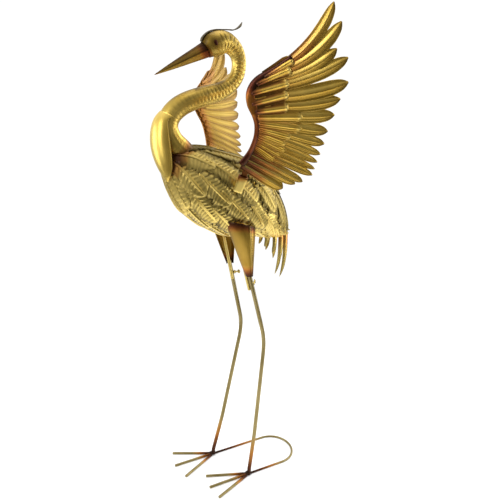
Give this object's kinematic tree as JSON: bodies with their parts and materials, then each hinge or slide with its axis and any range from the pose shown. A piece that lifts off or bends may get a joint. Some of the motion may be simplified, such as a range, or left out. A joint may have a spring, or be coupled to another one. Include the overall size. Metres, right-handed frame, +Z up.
{
  "type": "metal figurine",
  "caption": "Standing garden crane of gold sheet metal, with raised wings, a curved neck, rod legs and a wire heel loop that keeps it upright.",
  "frame": {"origin": "middle of the footprint box, on the ground plane under the feet", "axes": "+Z up, the bird faces -X, its left side is towards -Y"},
  "size_m": [0.342, 0.431, 1.003],
  "materials": {
    "gold": "gold lacquer over pressed steel sheet, semi-gloss",
    "champagne_gold": "pale gold lacquer over stamped steel plates",
    "heat_tinted_gold": "gold lacquer with a copper to maroon heat tint",
    "rod_gold": "dull gold lacquer over steel rod, browned at the welds",
    "browned_strip": "dark brown lacquer over steel strip"
  },
  "bodies": {
    "root": {"beak": "heat_tinted_gold", "body": "champagne_gold", "breast_plate": "gold", "crest_plume": "browned_strip", "head_and_neck": "gold", "heel_loop": "rod_gold", "leg_left": "rod_gold", "leg_peg_left": "rod_gold", "leg_peg_right": "rod_gold", "leg_right": "rod_gold", "leg_screw_left": "rod_gold", "leg_screw_right": "rod_gold", "tail_strip_1_left": "champagne_gold", "tail_strip_1_right": "champagne_gold", "tail_strip_2_left": "champagne_gold", "tail_strip_2_right": "champagne_gold", "tail_strip_3_left": "champagne_gold", "tail_strip_3_right": "champagne_gold", "tail_strip_4_left": "champagne_gold", "tail_strip_4_right": "champagne_gold", "thigh_left": "heat_tinted_gold", "thigh_right": "heat_tinted_gold", "toe_inner_left": "rod_gold", "toe_inner_right": "rod_gold", "toe_middle_left": "rod_gold", "toe_middle_right": "rod_gold", "toe_outer_left": "rod_gold", "toe_outer_right": "rod_gold", "wing_bracket_left": "champagne_gold", "wing_bracket_right": "champagne_gold", "wing_left": "gold", "wing_right": "gold"}
  },
  "joints": []
}
